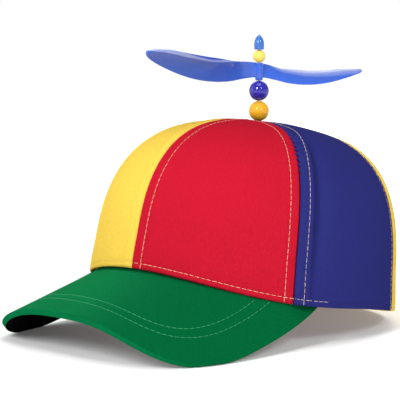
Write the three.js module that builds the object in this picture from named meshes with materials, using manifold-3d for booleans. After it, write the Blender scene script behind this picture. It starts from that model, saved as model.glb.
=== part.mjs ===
import * as THREE from 'three';
import { LoftGeometry } from 'three/addons/geometries/LoftGeometry.js';
import { mergeVertices } from 'three/addons/utils/BufferGeometryUtils.js';
import Module from 'manifold-3d';

// A six-panel cotton cap with a stiff peak and a toy propeller that spins on its top.
// Millimetres, +Z up. The front faces -Y and the wearer's left side is +X.
// The cap rests on a floor at Z = 0, on the back of its rim and the two low corners of the peak.

// Crown, measured from the middle of the rim before the cap leans back to rest
const HALF_WIDTH = 88.5;
const FRONT_REACH = 87;
const BACK_REACH = 100.5;
const CROWN_HEIGHT = 109.4;
const TOP_SETBACK = 6;
const PROFILE_POWER = 3;
const WALL = 1.6;
const RIM_RISE_FRONT = 18;
const RIM_RISE_SIDE = 6.8;
const RIM_RISE_POWER = 2.7;
const SEAM_GAP = 0.3;
const TOP_HOLE_RADIUS = 1.7;

// Peak, a flat board bent over from side to side and sloping down to the front
const PEAK_FRONT_REACH = 138.3;
const PEAK_END_FRONT = 13;
const PEAK_HALF_WIDTH = 81.8;
const PEAK_THICKNESS = 3;
const PEAK_DROP_AT_ENDS = 45.5;
const PEAK_DROP_POWER = 3;
const PEAK_SLOPE = 0.48;
const PEAK_CORNER_POWER = 3.8;
const PEAK_GAP = 0.35;
const PEAK_SWEEP = 87;
const PEAK_JOIN_ANGLE = 71;
const PEAK_TUCK = 8;
const PEAK_TUCK_POWER = 12;

// Rest on the floor
const REST_PITCH = 7.5;
const CLOTH_FLATTENING = 0.6;

// Spindle and what is threaded on it, heights above the top of the crown
const SPINDLE_RADIUS = 1;
const BORE_RADIUS = 1.35;
const SPINDLE_HEAD_RADIUS = 3.5;
const SPINDLE_HEAD_THICKNESS = 1;
const SPINDLE_HEAD_DEPTH = 2.4;
const FIRST_BEAD_LIFT = 0.9;
const STACK_GAP = 0.25;
const BEAD_DIAMETER = 11.8;
const TOP_BEAD_DIAMETER = 7.4;
const HUB_RADIUS = 2.9;
const HUB_HEIGHT = 10.4;
const TIP_RADIUS = 3;
const TIP_HEIGHT = 9;
const TIP_NOSE_LENGTH = 4.5;
const TIP_SOCKET_DEPTH = 6;

// Propeller, two twisted blades that sit a little askew on the hub
const BLADE_REACH = 78.5;
const BLADE_THICKNESS = 1.4;
const BLADE_HEADING = -11.5;
const BLADE_TILT = 4;
const BLADE_ROLL = 8.2;
const BLADE_SECTIONS = [
	{ along: 0.01, chord: 7.0, pitch: 84, rise: 0.4, camber: 0.0 },
	{ along: 0.06, chord: 7.6, pitch: 78, rise: 0.4, camber: 0.1 },
	{ along: 0.14, chord: 10.4, pitch: 62, rise: 0.0, camber: 0.5 },
	{ along: 0.24, chord: 13.8, pitch: 48, rise: -0.8, camber: 1.0 },
	{ along: 0.36, chord: 17.4, pitch: 38, rise: -1.2, camber: 1.5 },
	{ along: 0.50, chord: 20.2, pitch: 29, rise: -0.9, camber: 1.8 },
	{ along: 0.63, chord: 21.0, pitch: 23, rise: 0.4, camber: 1.8 },
	{ along: 0.75, chord: 19.6, pitch: 19, rise: 2.2, camber: 1.5 },
	{ along: 0.86, chord: 16.6, pitch: 17, rise: 4.3, camber: 1.1 },
	{ along: 0.93, chord: 12.8, pitch: 17, rise: 5.2, camber: 0.7 },
	{ along: 0.98, chord: 8.2, pitch: 17, rise: 5.7, camber: 0.3 },
	{ along: 1.00, chord: 2.4, pitch: 17, rise: 5.9, camber: 0.0 },
];

// Steps of the faceted surfaces
const PANEL_ROWS = 14;
const PANEL_COLUMNS = 10;
const PEAK_COLUMNS = 34;
const PEAK_ROWS = 6;
const BLADE_RING = 14;
const ROUND_STEPS = 24;
const BEAD_STEPS = 12;

const RED = 0xd6243a;
const YELLOW = 0xf8d75e;
const BLUE = 0x343a86;
const GREEN = 0x066b3c;
const BEAD_YELLOW = 0xf6cf62;
const BEAD_BLUE = 0x352f87;
const PROPELLER_BLUE = 0x4a66c4;
const TIP_BLUE = 0x4879c5;
const STEEL = 0xb8babd;
const CLOTH_ROUGHNESS = 0.9;
const PLASTIC_ROUGHNESS = 0.3;
const STEEL_ROUGHNESS = 0.35;
const STEEL_METALNESS = 1;

const PANELS = [
	{ name: 'panel_front_left', from: 0, to: 63, color: RED },
	{ name: 'panel_side_left', from: 63, to: 120, color: BLUE },
	{ name: 'panel_back_left', from: 120, to: 180, color: YELLOW },
	{ name: 'panel_back_right', from: 180, to: 240, color: RED },
	{ name: 'panel_side_right', from: 240, to: 297, color: BLUE },
	{ name: 'panel_front_right', from: 297, to: 360, color: YELLOW },
];

const { degToRad, lerp } = THREE.MathUtils;
const cap = new THREE.Group();

function addPiece( parent, name, geometry, color, roughness, metalness = 0 ) {

	const material = new THREE.MeshStandardMaterial( { color, roughness, metalness } );
	const piece = new THREE.Mesh( geometry, material );
	piece.name = name;
	parent.add( piece );
	return piece;

}

// A point given as front, left and up of the level cap, leaned back and set down on the floor.
// Cloth that would reach below the floor is pressed flat on it.
const pitch = degToRad( REST_PITCH );
const floorLift = BACK_REACH * Math.sin( pitch ) - CLOTH_FLATTENING;

function place( front, left, up ) {

	const forward = front * Math.cos( pitch ) - up * Math.sin( pitch );
	const height = front * Math.sin( pitch ) + up * Math.cos( pitch ) + floorLift;
	return new THREE.Vector3( left, - forward, Math.max( 0, height ) );

}

// A rounded square's outline at a polar angle: 1 on both axes, fuller at the diagonal
function roundedSquare( angle, power ) {

	const across = Math.abs( Math.cos( angle ) );
	const along = Math.abs( Math.sin( angle ) );
	const reach = Math.pow( across ** power + along ** power, - 1 / power );
	return { across: reach * Math.cos( angle ), along: reach * Math.sin( angle ) };

}

function rimHeight( turn ) {

	const ahead = Math.max( 0, Math.cos( turn ) );
	return RIM_RISE_FRONT * ahead ** RIM_RISE_POWER + RIM_RISE_SIDE * Math.sin( turn ) ** 2;

}

// Crown surface: turn goes round from the front to the left, climb from the rim to the top.
// Inset moves the surface inwards, for the inside of the wall.
function crownPoint( turn, climb, inset ) {

	const profile = roundedSquare( climb, PROFILE_POWER );
	const reach = Math.cos( turn ) > 0 ? FRONT_REACH : BACK_REACH;
	const front = profile.across * ( reach - inset ) * Math.cos( turn ) - TOP_SETBACK * profile.along ** 2;
	const left = profile.across * ( HALF_WIDTH - inset ) * Math.sin( turn );
	const up = ( CROWN_HEIGHT - inset ) * profile.along + rimHeight( turn ) * ( 1 - profile.along );
	return place( front, left, up );

}

// One cloth panel: level sections from the rim to the top, each running along the outside from
// seam to seam and back along the inside. The seams keep an even gap all the way up.
function panelGeometry( from, to ) {

	const topClimb = Math.acos( TOP_HOLE_RADIUS / HALF_WIDTH );
	const sections = [];

	for ( let row = 0; row <= PANEL_ROWS; row ++ ) {

		const climb = topClimb * row / PANEL_ROWS;
		const halfGap = SEAM_GAP / 2 / ( HALF_WIDTH * roundedSquare( climb, PROFILE_POWER ).across );
		const outside = [];
		const inside = [];

		for ( let column = 0; column <= PANEL_COLUMNS; column ++ ) {

			const start = degToRad( from ) + halfGap;
			const end = degToRad( to ) - halfGap;
			const turn = lerp( start, end, column / PANEL_COLUMNS );
			outside.push( crownPoint( turn, climb, 0 ) );
			inside.push( crownPoint( turn, climb, WALL ) );

		}

		sections.push( [ ...outside, ...inside.reverse() ] );

	}

	return new LoftGeometry( sections, { capStart: true, capEnd: true } );

}

for ( const { name, from, to, color } of PANELS ) {

	addPiece( cap, name, panelGeometry( from, to ), color, CLOTH_ROUGHNESS );

}

// Peak surface: sweep goes from one end over the front to the other, out from the rim to the edge.
// The inner edge lies just under the crown wall, and the cloth eases from there onto the bent board.
// At both ends the peak runs on a little way inside the crown.
function boardHeight( front, left ) {

	const drop = PEAK_DROP_AT_ENDS * Math.pow( Math.abs( left ) / PEAK_HALF_WIDTH, PEAK_DROP_POWER );
	return RIM_RISE_FRONT - PEAK_SLOPE * ( front - FRONT_REACH ) - drop;

}

function peakTop( sweep, out ) {

	const edge = roundedSquare( sweep, PEAK_CORNER_POWER );
	const turn = sweep * PEAK_JOIN_ANGLE / PEAK_SWEEP;
	const inset = WALL / 2 + PEAK_TUCK * Math.abs( sweep / degToRad( PEAK_SWEEP ) ) ** PEAK_TUCK_POWER;
	const rimFront = ( FRONT_REACH - inset ) * Math.cos( turn );
	const rimLeft = ( HALF_WIDTH - inset ) * Math.sin( turn );
	const front = lerp( rimFront, lerp( PEAK_END_FRONT, PEAK_FRONT_REACH, edge.across ), out );
	const left = lerp( rimLeft, PEAK_HALF_WIDTH * edge.along, out );
	const step = rimHeight( turn ) - PEAK_GAP - boardHeight( rimFront, rimLeft );
	return new THREE.Vector3( front, left, boardHeight( front, left ) + step * ( 1 - out ) );

}

function peakUnderside( sweep, out ) {

	const nudge = 0.001;
	const along = peakTop( sweep + nudge, out ).sub( peakTop( sweep - nudge, out ) );
	const outward = peakTop( sweep, out + nudge ).sub( peakTop( sweep, out - nudge ) );
	const normal = outward.cross( along ).normalize();
	return peakTop( sweep, out ).addScaledVector( normal, - PEAK_THICKNESS );

}

function peakGeometry() {

	const sections = [];

	for ( let column = 0; column <= PEAK_COLUMNS; column ++ ) {

		const sweep = degToRad( lerp( - PEAK_SWEEP, PEAK_SWEEP, column / PEAK_COLUMNS ) );
		const above = [];
		const below = [];

		for ( let row = 0; row <= PEAK_ROWS; row ++ ) {

			above.push( place( ...peakTop( sweep, row / PEAK_ROWS ) ) );
			below.push( place( ...peakUnderside( sweep, row / PEAK_ROWS ) ) );

		}

		sections.push( [ ...above, ...below.reverse() ] );

	}

	return new LoftGeometry( sections, { capStart: true, capEnd: true } );

}

addPiece( cap, 'peak', peakGeometry(), GREEN, CLOTH_ROUGHNESS );

// Everything on the spindle stands straight up from the top of the crown
const stack = new THREE.Group();
stack.position.copy( place( - TOP_SETBACK, 0, CROWN_HEIGHT ) );
cap.add( stack );

// A lathe about the Z axis
function turned( outline ) {

	const points = outline.map( ( [ radius, height ] ) => new THREE.Vector2( radius, height ) );
	return new THREE.LatheGeometry( points, ROUND_STEPS ).rotateX( Math.PI / 2 );

}

// A round bead with its bore, centred at the origin
function beadGeometry( radius ) {

	const poleAngle = Math.asin( BORE_RADIUS / radius );
	const outline = [];

	for ( let step = 0; step <= BEAD_STEPS; step ++ ) {

		const angle = lerp( Math.PI - poleAngle, poleAngle, step / BEAD_STEPS );
		outline.push( [ radius * Math.sin( angle ), radius * Math.cos( angle ) ] );

	}

	outline.push( outline[ 0 ] );
	return turned( outline );

}

const lowerBeadHeight = FIRST_BEAD_LIFT + BEAD_DIAMETER / 2;
const upperBeadHeight = lowerBeadHeight + BEAD_DIAMETER + STACK_GAP;
const hubBottom = upperBeadHeight + BEAD_DIAMETER / 2 + STACK_GAP;
const topBeadHeight = hubBottom + HUB_HEIGHT + STACK_GAP + TOP_BEAD_DIAMETER / 2;
const tipBottom = topBeadHeight + TOP_BEAD_DIAMETER / 2 + STACK_GAP;

const beads = [
	{ name: 'bead_lower', diameter: BEAD_DIAMETER, height: lowerBeadHeight, color: BEAD_YELLOW },
	{ name: 'bead_upper', diameter: BEAD_DIAMETER, height: upperBeadHeight, color: BEAD_BLUE },
	{ name: 'bead_top', diameter: TOP_BEAD_DIAMETER, height: topBeadHeight, color: BEAD_YELLOW },
];

for ( const { name, diameter, height, color } of beads ) {

	const bead = addPiece( stack, name, beadGeometry( diameter / 2 ), color, PLASTIC_ROUGHNESS );
	bead.position.z = height;

}

// Spindle: a wire with a flat head inside the crown, ending in the tip's socket
const socketTop = tipBottom + TIP_SOCKET_DEPTH;
const spindleTop = socketTop - STACK_GAP;
const headTop = - SPINDLE_HEAD_DEPTH;
const headBottom = headTop - SPINDLE_HEAD_THICKNESS;
const spindleOutline = [
	[ 0, headBottom ],
	[ SPINDLE_HEAD_RADIUS, headBottom ],
	[ SPINDLE_HEAD_RADIUS, headTop ],
	[ SPINDLE_RADIUS, headTop ],
	[ SPINDLE_RADIUS, spindleTop ],
	[ 0, spindleTop ],
];
addPiece( stack, 'spindle', turned( spindleOutline ), STEEL, STEEL_ROUGHNESS, STEEL_METALNESS );

// Tip: a bullet-shaped plastic end pushed over the spindle
function tipGeometry() {

	const shoulder = tipBottom + TIP_HEIGHT - TIP_NOSE_LENGTH;
	const outline = [ [ BORE_RADIUS, socketTop ], [ BORE_RADIUS, tipBottom ], [ TIP_RADIUS, tipBottom ] ];

	for ( let step = 0; step < BEAD_STEPS; step ++ ) {

		const angle = Math.PI / 2 * step / BEAD_STEPS;
		outline.push( [ TIP_RADIUS * Math.cos( angle ), shoulder + TIP_NOSE_LENGTH * Math.sin( angle ) ] );

	}

	return turned( [ [ 0, socketTop ], ...outline, [ 0, tipBottom + TIP_HEIGHT ] ] );

}

addPiece( stack, 'tip', tipGeometry(), TIP_BLUE, PLASTIC_ROUGHNESS );

// One blade along +X: thin cambered sections, each pitched about the blade's length
function bladeGeometry() {

	const sections = BLADE_SECTIONS.map( ( { along, chord, pitch: twist, rise, camber } ) => {

		const tilt = new THREE.Matrix4().makeRotationX( degToRad( twist ) );
		const ring = [];

		for ( let step = 0; step < BLADE_RING; step ++ ) {

			const angle = 2 * Math.PI * step / BLADE_RING;
			const across = chord / 2 * Math.cos( angle );
			const thick = BLADE_THICKNESS / 2 * Math.sin( angle ) + camber * ( Math.sin( angle ) ** 2 - 0.5 );
			const point = new THREE.Vector3( 0, across, thick ).applyMatrix4( tilt );
			ring.push( point.add( new THREE.Vector3( along * BLADE_REACH, 0, rise ) ) );

		}

		return ring;

	} );

	return new LoftGeometry( sections, { capStart: true, capEnd: true } );

}

const wasm = await Module();
wasm.setup();

function toSolid( geometry ) {

	const bare = new THREE.BufferGeometry();
	bare.setAttribute( 'position', geometry.attributes.position );
	bare.setIndex( geometry.index );
	const merged = mergeVertices( bare );
	const mesh = new wasm.Mesh( {
		numProp: 3,
		vertProperties: new Float32Array( merged.attributes.position.array ),
		triVerts: new Uint32Array( merged.index.array ),
	} );
	return new wasm.Manifold( mesh );

}

function toGeometry( solid ) {

	const { vertProperties, triVerts } = solid.getMesh();
	const geometry = new THREE.BufferGeometry();
	geometry.setAttribute( 'position', new THREE.BufferAttribute( vertProperties, 3 ) );
	geometry.setIndex( new THREE.BufferAttribute( triVerts, 1 ) );
	geometry.computeVertexNormals();
	return geometry;

}

// Propeller: hub and both blades moulded in one, then bored for the spindle
function propellerGeometry() {

	const hub = new THREE.CylinderGeometry( HUB_RADIUS, HUB_RADIUS, HUB_HEIGHT, ROUND_STEPS );
	const bore = new THREE.CylinderGeometry( BORE_RADIUS, BORE_RADIUS, HUB_HEIGHT * 2, ROUND_STEPS );
	hub.rotateX( Math.PI / 2 );
	bore.rotateX( Math.PI / 2 );
	let solid = toSolid( hub );

	for ( const halfTurn of [ 0, Math.PI ] ) {

		const blade = bladeGeometry().rotateZ( halfTurn );
		blade.rotateY( - degToRad( BLADE_TILT ) ).rotateX( degToRad( BLADE_ROLL ) );
		solid = solid.add( toSolid( blade ) );

	}

	return toGeometry( solid.subtract( toSolid( bore ) ) );

}

// The blade's heading is measured from straight ahead towards the wearer's left
const propeller = addPiece( stack, 'propeller', propellerGeometry(), PROPELLER_BLUE, PLASTIC_ROUGHNESS );
propeller.position.z = hubBottom + HUB_HEIGHT / 2;
propeller.rotation.z = degToRad( BLADE_HEADING - 90 );

// The origin is the middle of the footprint, on the floor
cap.updateMatrixWorld( true );
const middle = new THREE.Box3().setFromObject( cap, true ).getCenter( new THREE.Vector3() );
cap.position.set( 0, - middle.y, 0 );

export default cap;
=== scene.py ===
"""A propeller cap: six cotton panels, a stiff peak, and a toy propeller on a beaded spindle."""

import math

import bmesh
import bpy
from mathutils import Matrix, Vector, noise


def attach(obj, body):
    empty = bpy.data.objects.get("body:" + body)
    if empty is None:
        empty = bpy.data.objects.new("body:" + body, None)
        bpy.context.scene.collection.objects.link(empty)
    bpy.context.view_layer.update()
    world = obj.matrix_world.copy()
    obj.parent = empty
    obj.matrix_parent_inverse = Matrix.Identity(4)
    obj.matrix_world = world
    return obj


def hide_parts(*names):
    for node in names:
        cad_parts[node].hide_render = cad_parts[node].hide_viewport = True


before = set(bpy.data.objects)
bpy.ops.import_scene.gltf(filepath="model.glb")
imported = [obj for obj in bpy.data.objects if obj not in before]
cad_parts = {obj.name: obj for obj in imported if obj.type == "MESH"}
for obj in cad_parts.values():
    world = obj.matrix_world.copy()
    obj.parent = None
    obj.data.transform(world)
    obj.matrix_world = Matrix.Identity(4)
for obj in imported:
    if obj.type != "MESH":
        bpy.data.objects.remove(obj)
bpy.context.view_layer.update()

# Crown panels
# Six gores of stiffened cotton twill, sewn edge to edge from the rim up to where they meet on top.
# The cloth turns under at each seam, so a fine groove runs between two panels, and the seam
# allowances beneath lift a flat band on both sides of it.
CROWN_HALF_WIDTH = 0.0885
CROWN_FRONT = 0.087
CROWN_BACK = 0.1005
CROWN_HEIGHT = 0.1094
CROWN_FULLNESS = 3
TOP_SETBACK = 0.006
TOP_OPENING = 0.0001
TOP_CLIMB = math.acos(TOP_OPENING / CROWN_HALF_WIDTH)
# The seams meet a little to the front and right of the spindle.
MEETING_FRONT = 0.007
MEETING_LEFT = -0.0095
MEETING_POWER = 4
RIM_RISE_FRONT = 0.018
RIM_RISE_SIDE = 0.0068
RIM_RISE_POWER = 2.7
RIM_CLIMB_FRONT = math.radians(0.35)
RIM_CLIMB_BACK = math.radians(0.2)
RIM_MIDDLE_Y = 0.016928
RIM_MIDDLE_Z = 0.012518
LEAN = math.radians(7.5)
# A small step, to find which way a curved form runs
NUDGE = 0.0004


def between(low, high, part):
    """The value that lies a part of the way from low to high."""
    return low + (high - low) * part


def eased(value, start, end):
    """0 before start, 1 after end, and a smooth rise between them."""
    part = min(1.0, max(0.0, (value - start) / (end - start)))
    return part * part * (3 - 2 * part)


def bell(distance, width):
    """1 at no distance, falling away smoothly on both sides."""
    return math.exp(-((distance / width) ** 2))


def rounded_square(angle, power):
    """The outline of a square with rounded corners at an angle: 1 on both axes, fuller between them."""
    across = math.cos(angle)
    along = math.sin(angle)
    reach = (abs(across) ** power + abs(along) ** power) ** (-1 / power)
    return reach * across, reach * along


def set_down(front, left, up):
    """Where a point of the level cap lies once the cap leans back on the floor."""
    y = RIM_MIDDLE_Y - front * math.cos(LEAN) + up * math.sin(LEAN)
    z = RIM_MIDDLE_Z + front * math.sin(LEAN) + up * math.cos(LEAN)
    return Vector((left, y, z))


def rim_rise(turn):
    """How far the rim curves up at a turn from the front towards the wearer's left."""
    ahead = max(0.0, math.cos(turn))
    return RIM_RISE_FRONT * ahead**RIM_RISE_POWER + RIM_RISE_SIDE * math.sin(turn) ** 2


def rim_climb(turn):
    """The climb at which the cloth ends: just over the peak in front, and clear of the floor behind."""
    return between(RIM_CLIMB_BACK, RIM_CLIMB_FRONT, 0.5 + 0.5 * math.cos(turn))


def crown_point(turn, climb):
    """The crown's smooth form, without its seams: climb goes from the rim to the top."""
    across, along = rounded_square(climb, CROWN_FULLNESS)
    reach = CROWN_FRONT if math.cos(turn) > 0 else CROWN_BACK
    drift = (1 - across) ** MEETING_POWER
    front = across * reach * math.cos(turn) - TOP_SETBACK * along**2 + MEETING_FRONT * drift
    left = across * CROWN_HALF_WIDTH * math.sin(turn) + MEETING_LEFT * drift
    up = CROWN_HEIGHT * along + rim_rise(turn) * (1 - along)
    return set_down(front, left, up)


def crown_run(turn, climb):
    """How the crown runs for each radian of turn and of climb, and its outward direction."""
    sideways = (crown_point(turn + NUDGE, climb) - crown_point(turn - NUDGE, climb)) / (2 * NUDGE)
    upwards = (crown_point(turn, climb + NUDGE) - crown_point(turn, climb - NUDGE)) / (2 * NUDGE)
    return sideways, upwards, sideways.cross(upwards).normalized()


# What the cloth does at its seams, from the groove outwards
GROOVE_DEPTH = 0.0009
GROOVE_WIDTH = 0.00045
STITCH_PULL = 0.3
SEAM_PITCH = 0.0039
SEAM_WANDER = 0.0009
WANDER_WIDTH = 3 * GROOVE_WIDTH
WANDER_FROM = math.radians(33)
WANDER_FULL = math.radians(48)
BAND_EDGE = 0.0016
BAND_EASE = 0.003
BAND_FADE = math.radians(20)
STITCH_DIP = 0.00022
STITCH_DIP_WIDTH = 0.0006
VALLEY_BEYOND = 0.0066
VALLEY_WIDTH = 0.0036
VALLEY_FROM = math.radians(4)
VALLEY_FULL = math.radians(25)
VALLEY_FADE = math.radians(46)
VALLEY_END = math.radians(66)
NARROW_PANEL = 0.001
WIDE_PANEL = 0.005

# What it does at the rim and over the whole panel
HEM_FOLD = 0.0006
HEM_FOLD_WIDTH = 0.0006
HEM_STITCH_RISE = 0.0032
RIM_FLARE = 0.0004
FLARE_HEIGHT = 0.025
CLOTH_SETTLING = 0.0009
SETTLED_UP_TO = math.radians(66)
FIRM_FROM = math.radians(80)
CLOTH_UNEVENNESS = 0.00022
CLOTH_UNEVENNESS_SCALE = 28


def seam_lift(distance, climb, side):
    """How far the cloth stands up at a distance from a seam, over what is folded under on that side."""
    past_row = distance - side["row"]
    band = side["band"] * (1 - eased(past_row, BAND_EDGE, BAND_EDGE + BAND_EASE))
    band *= 1 - eased(climb, side["top"] - BAND_FADE, side["top"])
    dip = STITCH_DIP * bell(past_row, STITCH_DIP_WIDTH)
    valley = side["valley"] * eased(climb, VALLEY_FROM, VALLEY_FULL)
    valley *= 1 - eased(climb, VALLEY_FADE, VALLEY_END)
    return band - dip - valley * bell(past_row - VALLEY_BEYOND, VALLEY_WIDTH)


def cloth_point(turn, climb, cut):
    """A point on the outside of the panel with that cut, and the way the cloth faces there."""
    start, end, start_side, end_side = cut
    sideways, upwards, outward = crown_run(turn, climb)
    smooth = crown_point(turn, climb)
    from_start = (turn - start) * sideways.length
    from_end = (end - turn) * sideways.length
    from_seam = min(from_start, from_end)
    from_rim = (climb - rim_climb(turn)) * upwards.length
    stitch_wave = math.sin(2 * math.pi * climb * CROWN_HEIGHT / SEAM_PITCH)

    lift = seam_lift(from_start, climb, start_side) + seam_lift(from_end, climb, end_side)
    lift -= GROOVE_DEPTH * bell(from_seam, GROOVE_WIDTH) * (1 + STITCH_PULL * stitch_wave)
    settling = CLOTH_SETTLING * (1 - eased(climb, SETTLED_UP_TO, FIRM_FROM))
    lift += between(RIM_FLARE, -settling, eased(from_rim, 0, FLARE_HEIGHT))
    lift -= HEM_FOLD * bell(from_rim, HEM_FOLD_WIDTH)
    lift -= STITCH_DIP * bell(from_rim - HEM_STITCH_RISE, STITCH_DIP_WIDTH)
    lift += CLOTH_UNEVENNESS * noise.noise(smooth * CLOTH_UNEVENNESS_SCALE)
    room = eased(from_start + from_end, NARROW_PANEL, WIDE_PANEL)
    lift *= room

    nearer_side = start_side if from_start < from_end else end_side
    wander = nearer_side["wander"] * stitch_wave * bell(from_seam, WANDER_WIDTH)
    wander *= room * eased(climb, WANDER_FROM, WANDER_FULL)
    point = smooth + outward * lift + sideways.normalized() * wander
    point.z = max(0.0, point.z)
    return point, outward


# Cotton twill, with the spacing of its ribs
COTTON_WALE = 0.00075
COTTON_YARN = 0.00045
COTTON_ROUGHNESS = 0.92
COTTON_GLOSS = 0.01
WEAVE_DEPTH = 0.00025
RIB_WAVINESS = 0.6
RIB_WAVINESS_SCALE = 0.4
# Radians that a wave pattern turns through for each unit of its scale
WAVE_TURN = {"X": 20, "DIAGONAL": 10 * math.sqrt(2)}
EMBOSS_STRENGTH = 0.5
DYE_SPOTS = 700
DYE_DETAIL = 6
DYE_SHADE = 0.86
DYE_LIGHT = 1.14
NAP_SOFTNESS = 0.3
NAP_PALENESS = 0.03


def new_finish(name):
    """An empty finish, its nodes, their links and its surface shader."""
    finish = bpy.data.materials.new(name)
    finish.use_nodes = True
    nodes = finish.node_tree.nodes
    return finish, nodes, finish.node_tree.links, nodes["Principled BSDF"]


def mottle(nodes, links, spots, detail):
    """A soft random pattern of that many spots to the metre, fixed to the piece."""
    place = nodes.new("ShaderNodeTexCoord")
    pattern = nodes.new("ShaderNodeTexNoise")
    pattern.inputs["Scale"].default_value = spots
    pattern.inputs["Detail"].default_value = detail
    links.new(place.outputs["Object"], pattern.inputs["Vector"])
    return pattern.outputs["Fac"]


def ribs(nodes, links, spacing, direction, place):
    """Fine parallel ribs with that spacing across the cloth."""
    pattern = nodes.new("ShaderNodeTexWave")
    pattern.bands_direction = direction
    pattern.inputs["Scale"].default_value = 2 * math.pi / (WAVE_TURN[direction] * spacing)
    pattern.inputs["Distortion"].default_value = RIB_WAVINESS
    pattern.inputs["Detail Scale"].default_value = RIB_WAVINESS_SCALE
    links.new(place, pattern.inputs["Vector"])
    return pattern.outputs["Fac"]


def summed(nodes, links, first, second):
    """Two amounts added together."""
    total = nodes.new("ShaderNodeMath")
    total.operation = "ADD"
    links.new(first, total.inputs[0])
    links.new(second, total.inputs[1])
    return total.outputs["Value"]


def colour_by(nodes, links, surface, amount, low, high):
    """Colours a surface from low to high with an amount."""
    mix = nodes.new("ShaderNodeMix")
    mix.data_type = "RGBA"
    mix.inputs["A"].default_value = (*low, 1)
    mix.inputs["B"].default_value = (*high, 1)
    links.new(amount, mix.inputs["Factor"])
    links.new(mix.outputs["Result"], surface.inputs["Base Color"])


def emboss(nodes, links, surface, height, depth):
    """Raises a pattern of heights on a surface, up to that depth."""
    bump = nodes.new("ShaderNodeBump")
    bump.inputs["Strength"].default_value = EMBOSS_STRENGTH
    bump.inputs["Distance"].default_value = depth
    links.new(height, bump.inputs["Height"])
    links.new(bump.outputs["Normal"], surface.inputs["Normal"])


def cotton(name, colour, nap=0.0):
    """Matt cotton twill: diagonal wales, yarns across them, an uneven dye and perhaps a soft nap."""
    finish, nodes, links, surface = new_finish(name)
    surface.inputs["Roughness"].default_value = COTTON_ROUGHNESS
    surface.inputs["Specular IOR Level"].default_value = COTTON_GLOSS
    nap_tint = (between(part / max(colour), 1, NAP_PALENESS) for part in colour)
    surface.inputs["Sheen Weight"].default_value = nap
    surface.inputs["Sheen Roughness"].default_value = NAP_SOFTNESS
    surface.inputs["Sheen Tint"].default_value = (*nap_tint, 1)
    dye = mottle(nodes, links, DYE_SPOTS, DYE_DETAIL)
    shade = tuple(DYE_SHADE * part for part in colour)
    light = tuple(DYE_LIGHT * part for part in colour)
    colour_by(nodes, links, surface, dye, shade, light)
    weave = nodes.new("ShaderNodeUVMap")
    weave.uv_map = "weave"
    wales = ribs(nodes, links, COTTON_WALE, "DIAGONAL", weave.outputs["UV"])
    yarns = ribs(nodes, links, COTTON_YARN, "X", weave.outputs["UV"])
    emboss(nodes, links, surface, summed(nodes, links, wales, yarns), WEAVE_DEPTH)
    return finish


PANEL_THICKNESS = 0.0018
PANEL_COLUMNS = 84
PANEL_ROWS = 200


def grid_part(coordinate):
    """A coordinate of a grid, which goes from -1 to 1, as a part of the way across it."""
    return 0.5 + 0.5 * coordinate


def new_piece(name, mesh, *finishes):
    """A finished mesh as a piece of the object, shaded smooth."""
    for face in mesh.faces:
        face.smooth = True
    data = bpy.data.meshes.new(name)
    mesh.to_mesh(data)
    mesh.free()
    for finish in finishes:
        data.materials.append(finish)
    piece = bpy.data.objects.new(name, data)
    bpy.context.scene.collection.objects.link(piece)
    return piece


def thicken(piece, thickness):
    """Gives a sheet its thickness on the inside, or underneath."""
    wall = piece.modifiers.new("thickness", "SOLIDIFY")
    wall.thickness = thickness
    wall.offset = -1
    return wall


def sew_panel(name, cut, finish):
    """One gore of the crown, between its two seams. Its columns crowd towards the seams."""
    start, end = cut[:2]
    middle = (start + end) / 2
    mesh = bmesh.new()
    bmesh.ops.create_grid(mesh, x_segments=PANEL_COLUMNS, y_segments=PANEL_ROWS, size=1)
    weave = mesh.loops.layers.uv.new("weave")
    flat = {}
    for vertex in mesh.verts:
        turn = between(start, end, grid_part(math.sin(vertex.co.x * math.pi / 2)))
        climb = between(rim_climb(turn), TOP_CLIMB, grid_part(vertex.co.y))
        across = (turn - middle) * crown_run(turn, climb)[0].length
        flat[vertex] = (across, climb * CROWN_HEIGHT)
        vertex.co = cloth_point(turn, climb, cut)[0]
    for face in mesh.faces:
        for loop in face.loops:
            loop[weave].uv = flat[loop.vert]
    panel = new_piece(name, mesh, finish)
    thicken(panel, PANEL_THICKNESS)
    return panel


def gore_cut(start_degrees, start_side, end_degrees, end_side):
    """The cut of a panel: the turns of its two seams from the front, and what is folded under at each."""
    return math.radians(start_degrees), math.radians(end_degrees), start_side, end_side


COTTON_RED = cotton("red cotton", (0.468, 0.009, 0.025))
COTTON_YELLOW = cotton("yellow cotton", (0.79, 0.545, 0.077))
COTTON_BLUE = cotton("blue cotton", (0.0225, 0.0255, 0.155))

# The allowance of the front side seams is pressed to the blue, which stands up there and dips beyond.
# That of the back side seams is pressed to the back panels.
OVER_THE_TOP = math.radians(110)
HIGH_UP = math.radians(72)
FLAT = {"band": 0.0003, "row": 0.0055, "valley": 0, "top": OVER_THE_TOP, "wander": SEAM_WANDER}
WIDE = {"band": 0.0003, "row": 0.007, "valley": 0, "top": OVER_THE_TOP, "wander": 0}
EDGED = {"band": 0.0006, "row": 0.0042, "valley": 0, "top": OVER_THE_TOP, "wander": 0}
PLUMP = {"band": 0.0013, "row": 0.007, "valley": 0, "top": HIGH_UP, "wander": 0}
RAISED = {"band": 0.0019, "row": 0.006, "valley": 0.0032, "top": HIGH_UP, "wander": SEAM_WANDER}
PRESSED = {"band": 0.0012, "row": 0.006, "valley": 0.002, "top": HIGH_UP, "wander": SEAM_WANDER}

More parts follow.
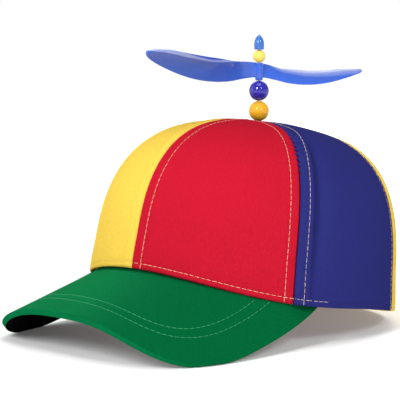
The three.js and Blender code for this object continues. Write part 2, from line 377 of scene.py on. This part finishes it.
# Turns of the seams from the front, in degrees towards the wearer's left
FRONT_SIDE_SEAM = 63
BACK_SIDE_SEAM = 120
BACK_SEAM = 180
WHOLE_TURN = 360
RIGHT_FRONT_SEAM = WHOLE_TURN - FRONT_SIDE_SEAM
RIGHT_BACK_SEAM = WHOLE_TURN - BACK_SIDE_SEAM
PANELS = (
    ("front_left", gore_cut(0, WIDE, FRONT_SIDE_SEAM, FLAT), COTTON_RED, "cotton_red"),
    ("side_left", gore_cut(FRONT_SIDE_SEAM, RAISED, BACK_SIDE_SEAM, EDGED), COTTON_BLUE, "cotton_blue"),
    ("back_left", gore_cut(BACK_SIDE_SEAM, PLUMP, BACK_SEAM, FLAT), COTTON_YELLOW, "cotton_yellow"),
    ("back_right", gore_cut(BACK_SEAM, FLAT, RIGHT_BACK_SEAM, PLUMP), COTTON_RED, "cotton_red"),
    ("side_right", gore_cut(RIGHT_BACK_SEAM, EDGED, RIGHT_FRONT_SEAM, PRESSED), COTTON_BLUE, "cotton_blue"),
    ("front_right", gore_cut(RIGHT_FRONT_SEAM, FLAT, WHOLE_TURN, WIDE), COTTON_YELLOW, "cotton_yellow"),
)
for place_name, panel_cut, cloth_finish, cloth_slot in PANELS:
    gore = sew_panel("cloth_" + place_name, panel_cut, cloth_finish)
    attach(gore, "cap")
    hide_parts("panel_" + place_name)

# Topstitching
# Sewn through the seam allowances on both sides of every seam, and once more round the front of
# the rim, where it holds the peak. The thread is cream on red and blue, and yellow on yellow.
STITCH_PITCH = 0.0033
STITCH_LENGTH = 0.0029
STITCH_THICKNESS = 0.00023
STITCH_LIFT = 0.0001
STITCH_SIDES = 8
STITCH_RINGS = 6
ROW_STEPS = 240
# A row beside a seam ends where it lies this part of the panel's breadth from the seam.
ROW_NEAREST_MIDDLE = 0.42
HEM_ROW_END = math.radians(77)
HEM_ROW_CLEARANCE = math.radians(1.2)
THREAD_ROUGHNESS = 0.6
THREAD_SHEEN = 0.1
THREAD_SHADE = 0.75
STRAND_SPOTS = 2500
STRAND_DETAIL = 2
STRAND_DEPTH = 0.0001


def thread(name, colour):
    """Twisted sewing thread with a slight sheen."""
    finish, nodes, links, surface = new_finish(name)
    surface.inputs["Roughness"].default_value = THREAD_ROUGHNESS
    surface.inputs["Sheen Weight"].default_value = THREAD_SHEEN
    strands = mottle(nodes, links, STRAND_SPOTS, STRAND_DETAIL)
    shade = tuple(THREAD_SHADE * part for part in colour)
    colour_by(nodes, links, surface, strands, shade, colour)
    emboss(nodes, links, surface, strands, STRAND_DEPTH)
    return finish


def lay_stitch(mesh, middle, forward, outward, thickness):
    """One stitch: a short rounded length of thread, partly sunk into the cloth."""
    side = outward.cross(forward).normalized()
    outward = forward.cross(side)
    lying = Matrix((side, outward, forward)).transposed().to_4x4()
    lying.translation = middle
    size = Matrix.Diagonal((thickness / 2, thickness / 2, STITCH_LENGTH / 2, 1))
    bmesh.ops.create_uvsphere(
        mesh, u_segments=STITCH_SIDES, v_segments=STITCH_RINGS, radius=1, matrix=lying @ size
    )


def sew_row(rows, path, thickness=STITCH_THICKNESS):
    """Adds one row of stitches at an even pitch along a path of points and outward directions."""
    row = bmesh.new()
    reached = 0.0
    due = STITCH_PITCH / 2 + thickness
    for (here, outward), (there, _) in zip(path, path[1:]):
        step = (there - here).length
        while due <= reached + step:
            middle = here.lerp(there, (due - reached) / step) + outward * STITCH_LIFT
            lay_stitch(row, middle, (there - here).normalized(), outward, thickness)
            due += STITCH_PITCH
        reached += step
    sewn = bpy.data.meshes.new("sewn row")
    row.to_mesh(sewn)
    row.free()
    rows.from_mesh(sewn)
    bpy.data.meshes.remove(sewn)


def seam_row(cut, from_start):
    """The path of a row beside one seam of a panel, up to where the panel gets too narrow for it."""
    start, end, start_side, end_side = cut
    side = start_side if from_start else end_side
    middle = (start + end) / 2
    path = []
    for step in range(ROW_STEPS + 1):
        climb = between(rim_climb(middle), TOP_CLIMB, step / ROW_STEPS)
        inset = side["row"] / crown_run(middle, climb)[0].length
        if inset > ROW_NEAREST_MIDDLE * (end - start):
            break
        turn = start + inset if from_start else end - inset
        path.append(cloth_point(turn, climb, cut))
    return path


def hem_row(cut):
    """The path of the row that holds the peak, a little above the rim of one panel."""
    start, end = cut[:2]
    path = []
    for step in range(ROW_STEPS + 1):
        turn = between(start + HEM_ROW_CLEARANCE, end - HEM_ROW_CLEARANCE, step / ROW_STEPS)
        from_front = abs(math.remainder(turn, 2 * math.pi))
        if from_front <= HEM_ROW_END:
            rim = rim_climb(turn)
            climb = rim + HEM_STITCH_RISE / crown_run(turn, rim)[1].length
            path.append(cloth_point(turn, climb, cut))
    return path


cream_rows = bmesh.new()
yellow_rows = bmesh.new()
hem_paths = {}
for place_name, panel_cut, cloth_finish, _ in PANELS:
    rows = yellow_rows if cloth_finish == COTTON_YELLOW else cream_rows
    sew_row(rows, seam_row(panel_cut, True))
    sew_row(rows, seam_row(panel_cut, False))
    hem_paths[place_name] = hem_row(panel_cut)
sew_row(cream_rows, hem_paths["front_left"] + hem_paths["side_left"])
sew_row(cream_rows, hem_paths["side_right"])
sew_row(yellow_rows, hem_paths["front_right"])

CREAM_THREAD = thread("cream thread", (0.86, 0.7, 0.45))
YELLOW_THREAD = thread("yellow thread", (0.72, 0.49, 0.055))
cream_stitching = new_piece("topstitching_cream", cream_rows, CREAM_THREAD)
yellow_stitching = new_piece("topstitching_yellow", yellow_rows, YELLOW_THREAD)
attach(cream_stitching, "cap")
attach(yellow_stitching, "cap")

# Peak
# A stiff board bent over from side to side, covered in green cotton above and black cotton
# beneath. The green cover is stretched round the board's edge, which is painted a lighter green:
# a painted highlight where the rounded edge catches the light from the front.
PEAK_FRONT = 0.1383
PEAK_END_FRONT = 0.013
PEAK_HALF_WIDTH = 0.0818
PEAK_THICKNESS = 0.0033
PEAK_DROP_AT_ENDS = 0.0455
PEAK_DROP_POWER = 3
PEAK_SLOPE = 0.48
PEAK_CORNER_POWER = 3.8
# The board hangs a little below the rim in front, and comes up inside it at the sides.
PEAK_GAP_FRONT = 0.0014
PEAK_GAP_SIDE = -0.0014
PEAK_SWEEP = math.radians(87)
PEAK_JOIN_ANGLE = math.radians(71)
PEAK_RIM_INSET = 0.0008
PEAK_TUCK = 0.008
PEAK_TUCK_POWER = 12
# The cover starts this part of its breadth inside the rim.
PEAK_TURN_UP = -0.1
PEAK_END_LIFT = 0.0045
PEAK_END_LIFT_POWER = 20
PEAK_COLUMNS = 220
PEAK_ROWS = 60
PEAK_EDGE_ROUNDING = 0.0014
PEAK_EDGE_STEPS = 4
PEAK_EDGE_ANGLE = math.radians(50)
PEAK_ROW_INSETS = (0.014, 0.0192)
PEAK_ROW_DRIFT = 0.003
PEAK_STITCH_DIP = 0.00025
PEAK_STITCH_THICKNESS = 0.00036
GREEN_NAP = 0.33


def board_height(front, left):
    """Height of the bent board, which slopes down to the front and falls away to its ends."""
    drop = PEAK_DROP_AT_ENDS * (abs(left) / PEAK_HALF_WIDTH) ** PEAK_DROP_POWER
    return RIM_RISE_FRONT - PEAK_SLOPE * (front - CROWN_FRONT) - drop


def peak_rim(sweep):
    """The turn at which a line across the peak meets the rim, and that point seen from above."""
    turn = sweep * PEAK_JOIN_ANGLE / PEAK_SWEEP
    inset = PEAK_RIM_INSET + PEAK_TUCK * abs(sweep / PEAK_SWEEP) ** PEAK_TUCK_POWER
    front = (CROWN_FRONT - inset) * math.cos(turn)
    left = (CROWN_HALF_WIDTH - inset) * math.sin(turn)
    return turn, front, left


def peak_edge(sweep):
    """A point on the outer edge, seen from above."""
    across, along = rounded_square(sweep, PEAK_CORNER_POWER)
    return between(PEAK_END_FRONT, PEAK_FRONT, across), PEAK_HALF_WIDTH * along


def peak_form(sweep, out):
    """The top of the peak, without its stitching: out goes from the rim to the edge."""
    turn, rim_front, rim_left = peak_rim(sweep)
    edge_front, edge_left = peak_edge(sweep)
    front = between(rim_front, edge_front, out)
    left = between(rim_left, edge_left, out)
    gap = between(PEAK_GAP_SIDE, PEAK_GAP_FRONT, math.cos(turn) ** 2)
    step = rim_rise(turn) - gap - board_height(rim_front, rim_left)
    end_lift = PEAK_END_LIFT * abs(sweep / PEAK_SWEEP) ** PEAK_END_LIFT_POWER
    return set_down(front, left, board_height(front, left) + step * (1 - out) + end_lift)


def peak_breadth(sweep):
    """The peak's breadth from rim to edge, measured square to the edge."""
    _, rim_front, rim_left = peak_rim(sweep)
    edge = Vector(peak_edge(sweep))
    along_edge = (Vector(peak_edge(sweep + NUDGE)) - Vector(peak_edge(sweep - NUDGE))).normalized()
    return abs((edge - Vector((rim_front, rim_left))).cross(along_edge))


def peak_point(sweep, out):
    """A point on the top of the peak's cover, and the way it faces."""
    along = peak_form(sweep + NUDGE, out) - peak_form(sweep - NUDGE, out)
    outward = peak_form(sweep, out + NUDGE) - peak_form(sweep, out - NUDGE)
    up = outward.cross(along).normalized()
    from_edge = (1 - out) * peak_breadth(sweep)
    lift = CLOTH_UNEVENNESS / 2 * noise.noise(peak_form(sweep, out) * CLOTH_UNEVENNESS_SCALE)
    for inset in PEAK_ROW_INSETS:
        lift -= PEAK_STITCH_DIP * bell(from_edge - inset + PEAK_ROW_DRIFT * sweep, STITCH_DIP_WIDTH)
    return peak_form(sweep, out) + up * lift, up


def keep_modified(piece):
    """Keeps the form that a piece's modifiers give it, in place of the modifiers."""
    modified = piece.evaluated_get(bpy.context.evaluated_depsgraph_get())
    data = bpy.data.meshes.new_from_object(modified)
    piece.modifiers.clear()
    piece.data = data


COTTON_GREEN = cotton("green cotton", (0.0008, 0.104, 0.031), GREEN_NAP)
COTTON_BLACK = cotton("black cotton", (0.003, 0.0032, 0.003))
# The board's edge gets a lighter green than the top: a painted highlight for the light the rounded edge
# catches
COTTON_GREEN_PAINTED_LIT_EDGE = cotton("green cotton with painted lit edge", (0.0011, 0.145, 0.046))

cover = bmesh.new()
bmesh.ops.create_grid(cover, x_segments=PEAK_COLUMNS, y_segments=PEAK_ROWS, size=1)
cover_weave = cover.loops.layers.uv.new("weave")
laid_flat = {}
for vertex in cover.verts:
    sweep = -PEAK_SWEEP * vertex.co.x
    vertex.co = peak_point(sweep, between(PEAK_TURN_UP, 1, grid_part(vertex.co.y)))[0]
    laid_flat[vertex] = (vertex.co.x, vertex.co.y)
for face in cover.faces:
    for loop in face.loops:
        loop[cover_weave].uv = laid_flat[loop.vert]
peak = new_piece("peak_cover", cover, COTTON_GREEN, COTTON_BLACK, COTTON_GREEN_PAINTED_LIT_EDGE)
underside = thicken(peak, PEAK_THICKNESS)
underside.material_offset = 1
# The faces round the board's edge take the lighter green, a painted highlight
underside.material_offset_rim = 2
rounding = peak.modifiers.new("rounded edge", "BEVEL")
rounding.limit_method = "ANGLE"
rounding.angle_limit = PEAK_EDGE_ANGLE
rounding.width = PEAK_EDGE_ROUNDING
rounding.segments = PEAK_EDGE_STEPS
keep_modified(peak)
for vertex in peak.data.vertices:
    vertex.co.z = max(0.0, vertex.co.z)
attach(peak, "cap")
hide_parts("peak")


def peak_row(inset):
    """The path of a row of stitches along the peak's edge, which nears it a little to the left."""
    path = []
    for step in range(ROW_STEPS + 1):
        sweep = between(-PEAK_SWEEP, PEAK_SWEEP, step / ROW_STEPS)
        breadth = peak_breadth(sweep)
        from_edge = inset - PEAK_ROW_DRIFT * sweep
        if breadth > from_edge + PEAK_STITCH_THICKNESS:
            path.append(peak_point(sweep, 1 - from_edge / breadth))
    return path


GREEN_THREAD = thread("green thread", (0.015, 0.34, 0.12))
peak_rows = bmesh.new()
for inset in PEAK_ROW_INSETS:
    sew_row(peak_rows, peak_row(inset), PEAK_STITCH_THICKNESS)
peak_stitching = new_piece("topstitching_peak", peak_rows, GREEN_THREAD)
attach(peak_stitching, "cap")

# Spindle
# A plain steel wire with a flat head inside the crown. It carries everything that stands on top.
SPINDLE_Y = 0.037156
STEEL_SHADE = (0.42, 0.42, 0.44)
STEEL_LIGHT = (0.6, 0.6, 0.62)
STEEL_ROUGHNESS = 0.3
STEEL_SPOTS = 900
STEEL_DETAIL = 3


def wire_steel(name):
    """Steel wire, with a slightly uneven shine."""
    finish, nodes, links, surface = new_finish(name)
    surface.inputs["Metallic"].default_value = 1
    surface.inputs["Roughness"].default_value = STEEL_ROUGHNESS
    marks = mottle(nodes, links, STEEL_SPOTS, STEEL_DETAIL)
    colour_by(nodes, links, surface, marks, STEEL_SHADE, STEEL_LIGHT)
    return finish


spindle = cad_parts["spindle"]
spindle.data.materials.clear()
spindle.data.materials.append(wire_steel("drawn steel"))

# Beads
# Three round plastic beads, threaded on the spindle: two large ones under the propeller and a
# small one above it.
BEAD_RADIUS = 0.00602
TOP_BEAD_RADIUS = 0.0038
LOWER_BEAD_HEIGHT = 0.127
UPPER_BEAD_HEIGHT = 0.13905
TOP_BEAD_HEIGHT = 0.15955
BORE_RADIUS = 0.0011
ROUND_STEPS = 64
SAME_PLACE = 1e-6
FLOW_SPOTS = 220
FLOW_DETAIL = 2


def moulded(name, shade, colour, roughness, gloss):
    """Glossy moulded plastic, with a faint flow of colour in it."""
    finish, nodes, links, surface = new_finish(name)
    surface.inputs["Roughness"].default_value = roughness
    surface.inputs["Specular IOR Level"].default_value = gloss
    flow = mottle(nodes, links, FLOW_SPOTS, FLOW_DETAIL)
    colour_by(nodes, links, surface, flow, shade, colour)
    return finish


def spin_round(mesh):
    """Spins an outline once round the upright axis into a closed round form."""
    bmesh.ops.spin(
        mesh,
        geom=mesh.verts[:] + mesh.edges[:],
        cent=(0, 0, 0),
        axis=(0, 0, 1),
        angle=2 * math.pi,
        steps=ROUND_STEPS,
        use_merge=True,
    )
    bmesh.ops.remove_doubles(mesh, verts=mesh.verts[:], dist=SAME_PLACE)
    bmesh.ops.recalc_face_normals(mesh, faces=mesh.faces[:])


def thread_bead(name, radius, height, finish):
    """A round bead with its bore, on the spindle with its middle at a height."""
    mesh = bmesh.new()
    lip = math.asin(BORE_RADIUS / radius)
    upper_lip = mesh.verts.new((BORE_RADIUS, 0, radius * math.cos(lip)))
    arc = bmesh.ops.spin(
        mesh,
        geom=[upper_lip],
        cent=(0, 0, 0),
        axis=(0, 1, 0),
        angle=math.pi - 2 * lip,
        steps=ROUND_STEPS // 2,
    )
    lower_lip = next(part for part in arc["geom_last"] if isinstance(part, bmesh.types.BMVert))
    mesh.edges.new((upper_lip, lower_lip))
    spin_round(mesh)
    bmesh.ops.translate(mesh, verts=mesh.verts[:], vec=(0, SPINDLE_Y, height))
    return new_piece(name, mesh, finish)


BEAD_YELLOW = moulded("yellow bead", (0.78, 0.38, 0.012), (0.84, 0.44, 0.025), 0.2, 0.35)
BEAD_BLUE = moulded("blue bead", (0.02, 0.018, 0.29), (0.026, 0.024, 0.34), 0.08, 0.5)
BEAD_PALE = moulded("pale yellow bead", (0.82, 0.61, 0.1), (0.86, 0.65, 0.13), 0.25, 0.35)
BEADS = (
    ("lower", BEAD_RADIUS, LOWER_BEAD_HEIGHT, BEAD_YELLOW, "bead_yellow"),
    ("upper", BEAD_RADIUS, UPPER_BEAD_HEIGHT, BEAD_BLUE, "bead_blue"),
    ("top", TOP_BEAD_RADIUS, TOP_BEAD_HEIGHT, BEAD_PALE, "bead_yellow"),
)
for bead_name, bead_radius, bead_height, bead_finish, bead_slot in BEADS:
    bead = thread_bead("round_bead_" + bead_name, bead_radius, bead_height, bead_finish)
    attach(bead, "cap")
    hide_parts("bead_" + bead_name)

# Propeller
# Two thin twisted blades and a tube for a hub, moulded in one from glossy blue plastic that
# lets a little light through. The light on the blades' thin lips is painted into their colour
# as a paler blue. It turns freely on the spindle and sits a little askew.
HUB_RADIUS = 0.0026
HUB_HEIGHT = 0.0104
HUB_MIDDLE = 0.1504
HUB_FOOT_RADIUS = 0.0021
HUB_FOOT_HEIGHT = 0.0022
HUB_EDGE_ROUNDING = 0.0004
HUB_EDGE_STEPS = 3
HUB_OUTLINE = (
    (BORE_RADIUS, -HUB_HEIGHT / 2),
    (HUB_FOOT_RADIUS, -HUB_HEIGHT / 2),
    (HUB_RADIUS, HUB_FOOT_HEIGHT - HUB_HEIGHT / 2),
    (HUB_RADIUS, HUB_HEIGHT / 2),
    (BORE_RADIUS, HUB_HEIGHT / 2),
)
# The least fold of an edge that gets rounded off, in radians
SHARP_FOLD = 1
BLADE_REACH = 0.0785
BLADE_THICKNESS = 0.0014
BLADE_HEADING = math.radians(-11.5)
BLADE_TILT = math.radians(4)
BLADE_ROLL = math.radians(8.2)
BLADE_RING = 96
BLADE_STATIONS = 56
BLADE_POINT = 0.03
BLADE_SEAM = 2e-5
BLADE_SHARP_ANGLE = math.radians(80)
LIP_BREADTH = 0.0034
LIP_LIFT = 0.0012
LIP_START = 0.2
LIP_FULL = 0.5
LIP_END_POWER = 12
# Where and how softly the painted light lies on the lip, near the hub and at its borders
LIP_ROLL_START = 0.5
LIP_ROLL_END = 0.85
LIP_ROLLED = 0.4
LIP_SOFTNESS = 0.2
TIP_ROUNDING_START = 0.8
# The blades' own blue, then the paler blue painted along their lips as painted light
PROPELLER_COLOUR = (0.042, 0.118, 0.56)
PROPELLER_PAINTED_LIP_LIGHT = (0.28, 0.37, 0.7)
PROPELLER_ROUGHNESS = 0.12
PROPELLER_GLOSS = 0.32
# Part of the reach, breadth, pitch in degrees, rise and hollow of the blade at stations along it
BLADE_SHAPE = (
    (0.025, 0.0086, 82, 0.0009, 0.0),
    (0.06, 0.0088, 78, 0.0008, 0.0001),
    (0.14, 0.0106, 62, 0.0002, 0.0005),
    (0.24, 0.0138, 48, -0.0008, 0.0010),
    (0.36, 0.0170, 38, -0.0010, 0.0015),
    (0.50, 0.0194, 29, -0.0005, 0.0018),
    (0.63, 0.0200, 23, 0.0008, 0.0018),
    (0.75, 0.0188, 19, 0.0025, 0.0015),
    (0.86, 0.0167, 17, 0.0043, 0.0011),
    (0.93, 0.0152, 17, 0.0052, 0.0007),
    (1.0, 0.0140, 17, 0.0062, 0.0),
)


def blade_at(part):
    """Breadth, pitch, rise and hollow of the blade, on a smooth curve through its stations."""
    last = len(BLADE_SHAPE) - 1
    index = next(i for i in range(last) if part <= BLADE_SHAPE[i + 1][0])
    before, low, high, after = (BLADE_SHAPE[min(max(i, 0), last)] for i in range(index - 1, index + 3))
    span = high[0] - low[0]
    way = (part - low[0]) / span
    values = []
    for earlier, first, second, later in zip(before[1:], low[1:], high[1:], after[1:]):
        leaving = (second - earlier) / (high[0] - before[0]) * span
        arriving = (later - first) / (after[0] - low[0]) * span
        bend = (3 * (second - first) - 2 * leaving - arriving) * way**2
        swing = (2 * (first - second) + leaving + arriving) * way**3
        values.append(first + leaving * way + bend + swing)
    past_start = max(0.0, part - TIP_ROUNDING_START) / (1 - TIP_ROUNDING_START)
    values[0] *= math.sqrt(max(0.0, 1 - past_start**2)) + BLADE_POINT
    return values


def past_crease(across, breadth, part):
    """How far a point lies out on the blade's lip: nothing at the crease, 1 at the edge."""
    lip_breadth = LIP_BREADTH * eased(part, LIP_START, LIP_FULL) * (1 - part**LIP_END_POWER)
    return max(0.0, across - breadth / 2 + lip_breadth) / LIP_BREADTH


def painted_lip_light(around, part):
    """How much painted light the blade gets: 1 along its lip, except where the lip rolls over near the hub.
    """
    breadth = blade_at(part)[0]
    on_lip = past_crease(breadth / 2 * math.cos(around), breadth, part)
    rolled = between(LIP_ROLLED, 1, eased(part, LIP_ROLL_START, LIP_ROLL_END))
    return eased(on_lip, 0, LIP_SOFTNESS) * (1 - eased(on_lip, rolled, rolled + LIP_SOFTNESS))


def blade_point(around, part):
    """A point on the blade's skin, for a blade that lies along the x axis."""
    breadth, pitch, rise, hollow = blade_at(part)
    across = breadth / 2 * math.cos(around)
    thick = BLADE_THICKNESS / 2 * math.sin(around) + hollow * (math.sin(around) ** 2 - 0.5)
    thick += LIP_LIFT * past_crease(across, breadth, part)
    point = Matrix.Rotation(math.radians(pitch), 3, "X") @ Vector((0, across, thick))
    return point + Vector((part * BLADE_REACH, 0, rise))


def part_along(row):
    """The part of the reach at a row of the blade's grid. Rows crowd towards the tip."""
    return between(BLADE_SHAPE[0][0], 1, math.sin(grid_part(row) * math.pi / 2))


def mould_blade():
    """One blade: a grid rolled round into a thin closed skin, with a map of the painted light on its lip.
    """
    mesh = bmesh.new()
    bmesh.ops.create_grid(mesh, x_segments=BLADE_RING, y_segments=BLADE_STATIONS, size=1)
    lip_map = mesh.loops.layers.uv.new("lip")
    for face in mesh.faces:
        for loop in face.loops:
            part = part_along(loop.vert.co.y)
            loop[lip_map].uv = (painted_lip_light(math.pi * loop.vert.co.x, part), part)
    for vertex in mesh.verts:
        vertex.co = blade_point(math.pi * vertex.co.x, part_along(vertex.co.y))
    bmesh.ops.remove_doubles(mesh, verts=mesh.verts[:], dist=BLADE_SEAM)
    bmesh.ops.holes_fill(mesh, edges=mesh.edges[:], sides=0)
    bmesh.ops.recalc_face_normals(mesh, faces=mesh.faces[:])
    return mesh


def sharp_edges(mesh):
    """The edges at which a form folds sharply."""
    return [edge for edge in mesh.edges if edge.calc_face_angle(0) > SHARP_FOLD]


def round_off(mesh, edges, rounding, steps):
    """Rounds off edges of a form."""
    bmesh.ops.bevel(
        mesh, geom=edges, offset=rounding, affect="EDGES", segments=steps, profile=0.5, material=-1
    )


def plastic_with_painted_lip_light(name, colour, pale):
    """Glossy plastic, painted a paler colour as painted light where the lip map marks the blades' thin
    lips.
    """
    finish, nodes, links, surface = new_finish(name)
    surface.inputs["Roughness"].default_value = PROPELLER_ROUGHNESS
    surface.inputs["Specular IOR Level"].default_value = PROPELLER_GLOSS
    lip = nodes.new("ShaderNodeUVMap")
    lip.uv_map = "lip"
    on_lip = nodes.new("ShaderNodeSeparateXYZ")
    links.new(lip.outputs["UV"], on_lip.inputs["Vector"])
    colour_by(nodes, links, surface, on_lip.outputs["X"], colour, pale)
    return finish


PROPELLER_BLUE = plastic_with_painted_lip_light("blue propeller", PROPELLER_COLOUR, PROPELLER_PAINTED_LIP_LIGHT)
ON_SPINDLE = Matrix.Translation((0, SPINDLE_Y, HUB_MIDDLE))
HEADING = ON_SPINDLE @ Matrix.Rotation(BLADE_HEADING - math.pi / 2, 4, "Z")
ASKEW = Matrix.Rotation(BLADE_ROLL, 4, "X") @ Matrix.Rotation(-BLADE_TILT, 4, "Y")

hub = bmesh.new()
hub_corners = [hub.verts.new((radius, 0, height)) for radius, height in HUB_OUTLINE]
for corner, next_corner in zip(hub_corners, hub_corners[1:] + hub_corners[:1]):
    hub.edges.new((corner, next_corner))
spin_round(hub)
round_off(hub, sharp_edges(hub), HUB_EDGE_ROUNDING, HUB_EDGE_STEPS)
hub.loops.layers.uv.new("lip")
bmesh.ops.transform(hub, matrix=HEADING, verts=hub.verts[:])
propeller = new_piece("toy_propeller", hub, PROPELLER_BLUE)
for half_turn in (0, math.pi):
    blade = mould_blade()
    turned = HEADING @ ASKEW @ Matrix.Rotation(half_turn, 4, "Z")
    bmesh.ops.transform(blade, matrix=turned, verts=blade.verts[:])
    blade_piece = new_piece("blade", blade, PROPELLER_BLUE)
    joining = propeller.modifiers.new("moulded in one", "BOOLEAN")
    joining.operation = "UNION"
    joining.object = blade_piece
    keep_modified(propeller)
    bpy.data.objects.remove(blade_piece)
propeller.data.set_sharp_from_angle(angle=BLADE_SHARP_ANGLE)
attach(propeller, "propeller")
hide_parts("propeller")

# Tip
# A bullet-shaped plastic end, pushed over the top of the spindle to hold the rest on.
TIP_RADIUS = 0.003
TIP_BOTTOM = 0.1635
TIP_HEIGHT = 0.009
TIP_NOSE_BEND = 0.0038
TIP_NOSE_STEPS = 24
TIP_SOCKET_DEPTH = 0.006
TIP_EDGE_ROUNDING = 0.0006
TIP_EDGE_STEPS = 4
TIP_SHARP_ANGLE = math.radians(50)
NOSE_RADIUS = TIP_RADIUS + TIP_NOSE_BEND
NOSE_TURN = math.acos(TIP_NOSE_BEND / NOSE_RADIUS)
SKIRT = NOSE_RADIUS * math.sin(NOSE_TURN) - TIP_HEIGHT
SOCKET_TOP = SKIRT + TIP_SOCKET_DEPTH
SKIRT_AND_SOCKET = (
    (TIP_RADIUS, SKIRT),
    (BORE_RADIUS, SKIRT),
    (BORE_RADIUS, SOCKET_TOP),
    (0, SOCKET_TOP),
)
TIP_BLUE = moulded("sky blue tip", (0.03, 0.125, 0.43), (0.04, 0.15, 0.49), 0.12, 0.5)

nose = bmesh.new()
shoulder = nose.verts.new((TIP_RADIUS, 0, 0))
bmesh.ops.spin(
    nose,
    geom=[shoulder],
    cent=(-TIP_NOSE_BEND, 0, 0),
    axis=(0, -1, 0),
    angle=NOSE_TURN,
    steps=TIP_NOSE_STEPS,
)
corner = shoulder
for radius, height in SKIRT_AND_SOCKET:
    next_corner = nose.verts.new((radius, 0, height))
    nose.edges.new((corner, next_corner))
    corner = next_corner
spin_round(nose)
rim_edges = [edge for edge in sharp_edges(nose) if edge.verts[0].co.z == edge.verts[1].co.z]
round_off(nose, rim_edges, TIP_EDGE_ROUNDING, TIP_EDGE_STEPS)
bmesh.ops.translate(nose, verts=nose.verts[:], vec=(0, SPINDLE_Y, TIP_BOTTOM - SKIRT))
tip = new_piece("bullet_tip", nose, TIP_BLUE)
tip.data.set_sharp_from_angle(angle=TIP_SHARP_ANGLE)
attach(tip, "cap")
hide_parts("tip")

# Floor, light and camera
# A plain white studio: a paper floor that glows towards a low white wall all round, two strip
# softboxes in front of the cap, large soft ones overhead, at its right and behind it, and the
# camera at the wearer's front left.
FLOOR_HALF_SIZE = 12
PAPER_WHITE = 0.95
# The glow centres at the wearer's front right. It is dimmest under the peak and lifts the cap's shadow on
# its left side: painted light on the floor.
GLOW_MIDDLE = Vector((-0.25, -0.2, 0))
GLOW_START = 0.2
GLOW_FULL = 1.2
GLOW_NEAR = 0.05
GLOW_FAR = 0.8
WALL_RADIUS = 8
WALL_HEIGHT = 1.6
WALL_SIDES = 96
WALL_WHITE = 1.0
ROOM_WHITE = 0.25
WHITE = (1, 1, 1, 1)
BLACK = (0, 0, 0, 1)
CAP_MIDDLE = Vector((0, 0, 0.09))
# Turn from the front and climb above the floor in degrees, distance, width, height and brightness
SOFTBOXES = (
    ("left strip", 18, 30, 1.3, 0.2, 0.5, 30),
    ("right strip", 72, 30, 1.3, 0.14, 0.28, 42),
    ("overhead box", 45, 80, 1.4, 0.9, 0.9, 2.7),
    ("right fill", -45, 22, 1.5, 1.0, 0.9, 1.7),
    ("back card", 225, 27, 2.5, 3.0, 2.2, 1.0),
)
CAMERA_LENS = 135.99
CAMERA_SENSOR = 36
CAMERA_PLACE = (0.61195, -0.63181, 0.15806)
CAMERA_VIEW = Vector((-0.7001, 0.70796, -0.09304))

ground = bmesh.new()
bmesh.ops.create_grid(ground, x_segments=1, y_segments=1, size=FLOOR_HALF_SIZE)
paper, paper_nodes, paper_links, paper_surface = new_finish("white paper")
paper_surface.inputs["Base Color"].default_value = (PAPER_WHITE, PAPER_WHITE, PAPER_WHITE, 1)
paper_surface.inputs["Roughness"].default_value = 1
paper_surface.inputs["Specular IOR Level"].default_value = 0
paper_surface.inputs["Emission Color"].default_value = WHITE
paper_place = paper_nodes.new("ShaderNodeTexCoord")
glow_middle = paper_nodes.new("ShaderNodeMapping")
glow_middle.inputs["Location"].default_value = -GLOW_MIDDLE
paper_links.new(paper_place.outputs["Object"], glow_middle.inputs["Vector"])
from_middle = paper_nodes.new("ShaderNodeVectorMath")
from_middle.operation = "LENGTH"
paper_links.new(glow_middle.outputs["Vector"], from_middle.inputs[0])
glow = paper_nodes.new("ShaderNodeMapRange")
glow.inputs["From Min"].default_value = GLOW_START
glow.inputs["From Max"].default_value = GLOW_FULL
glow.inputs["To Min"].default_value = GLOW_NEAR
glow.inputs["To Max"].default_value = GLOW_FAR
paper_links.new(from_middle.outputs["Value"], glow.inputs["Value"])
paper_links.new(glow.outputs["Result"], paper_surface.inputs["Emission Strength"])
floor = new_piece("floor", ground, paper)

ring = bmesh.new()
bmesh.ops.create_cone(
    ring, cap_ends=False, segments=WALL_SIDES, radius1=WALL_RADIUS, radius2=WALL_RADIUS, depth=WALL_HEIGHT
)
bmesh.ops.translate(ring, verts=ring.verts[:], vec=(0, 0, WALL_HEIGHT / 2))
bmesh.ops.reverse_faces(ring, faces=ring.faces[:])
wall_paint, _, _, wall_surface = new_finish("lit white wall")
wall_surface.inputs["Base Color"].default_value = BLACK
wall_surface.inputs["Specular IOR Level"].default_value = 0
wall_surface.inputs["Emission Color"].default_value = WHITE
wall_surface.inputs["Emission Strength"].default_value = WALL_WHITE
white_wall = new_piece("white_wall", ring, wall_paint)


def hang_softbox(name, turn, climb, distance, width, height, brightness):
    """A softbox that faces the cap, placed by its turn from the front and its climb above the floor."""
    light = bpy.data.lights.new(name, "AREA")
    light.shape = "RECTANGLE"
    light.size = width
    light.size_y = height
    light.energy = brightness * math.pi * width * height
    softbox = bpy.data.objects.new(name, light)
    level = distance * math.cos(math.radians(climb))
    away = Vector((level * math.sin(math.radians(turn)), -level * math.cos(math.radians(turn)), 0))
    away.z = distance * math.sin(math.radians(climb))
    softbox.location = CAP_MIDDLE + away
    softbox.rotation_euler = away.to_track_quat("Z", "Y").to_euler()
    bpy.context.scene.collection.objects.link(softbox)


for softbox_values in SOFTBOXES:
    hang_softbox(*softbox_values)

studio = bpy.data.worlds.new("studio")
studio.use_nodes = True
room_light = studio.node_tree.nodes["Background"]
room_light.inputs["Color"].default_value = WHITE
room_light.inputs["Strength"].default_value = ROOM_WHITE
bpy.context.scene.world = studio
bpy.context.scene.view_settings.view_transform = "Standard"

lens = bpy.data.cameras.new("camera")
lens.lens = CAMERA_LENS
lens.sensor_width = CAMERA_SENSOR
camera = bpy.data.objects.new("camera", lens)
camera.location = CAMERA_PLACE
camera.rotation_euler = CAMERA_VIEW.to_track_quat("-Z", "Y").to_euler()
bpy.context.scene.collection.objects.link(camera)
bpy.context.scene.camera = camera
